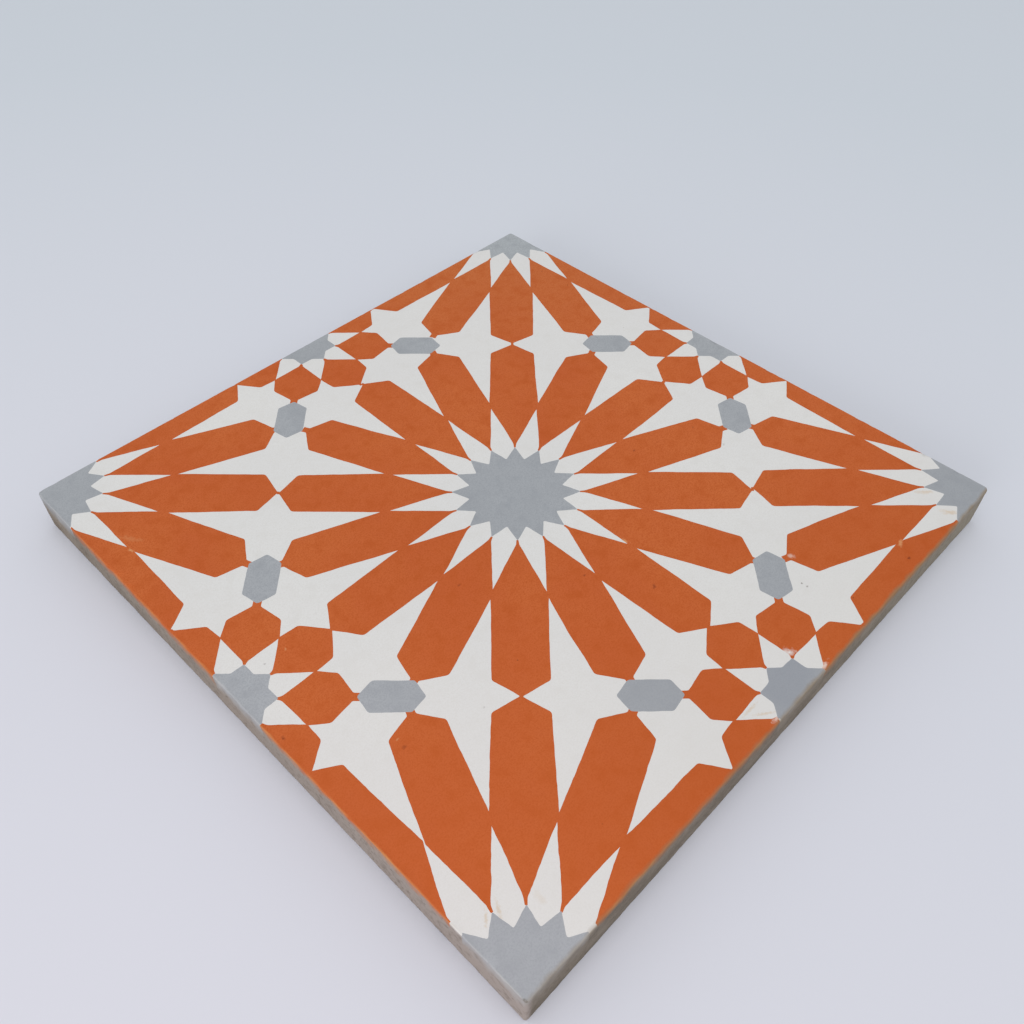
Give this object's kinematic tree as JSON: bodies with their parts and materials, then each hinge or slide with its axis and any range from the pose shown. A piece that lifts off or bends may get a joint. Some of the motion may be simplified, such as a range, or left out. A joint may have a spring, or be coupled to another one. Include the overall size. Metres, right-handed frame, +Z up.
{
  "type": "cement tile",
  "caption": "Square pressed cement floor tile with an inlaid star-rosette pattern in orange, white and grey, to be bonded by its flat back to a floor or wall.",
  "frame": {"origin": "middle of the tile's back, on the surface it lies on", "axes": "+Z up through the patterned face, X and Y along the tile's sides"},
  "size_m": [0.2, 0.2, 0.014],
  "materials": {
    "pigmented_cement": "matte pigmented cement, dry-pressed, unsealed"
  },
  "bodies": {
    "root": {"cement_tile": "pigmented_cement"}
  },
  "joints": []
}
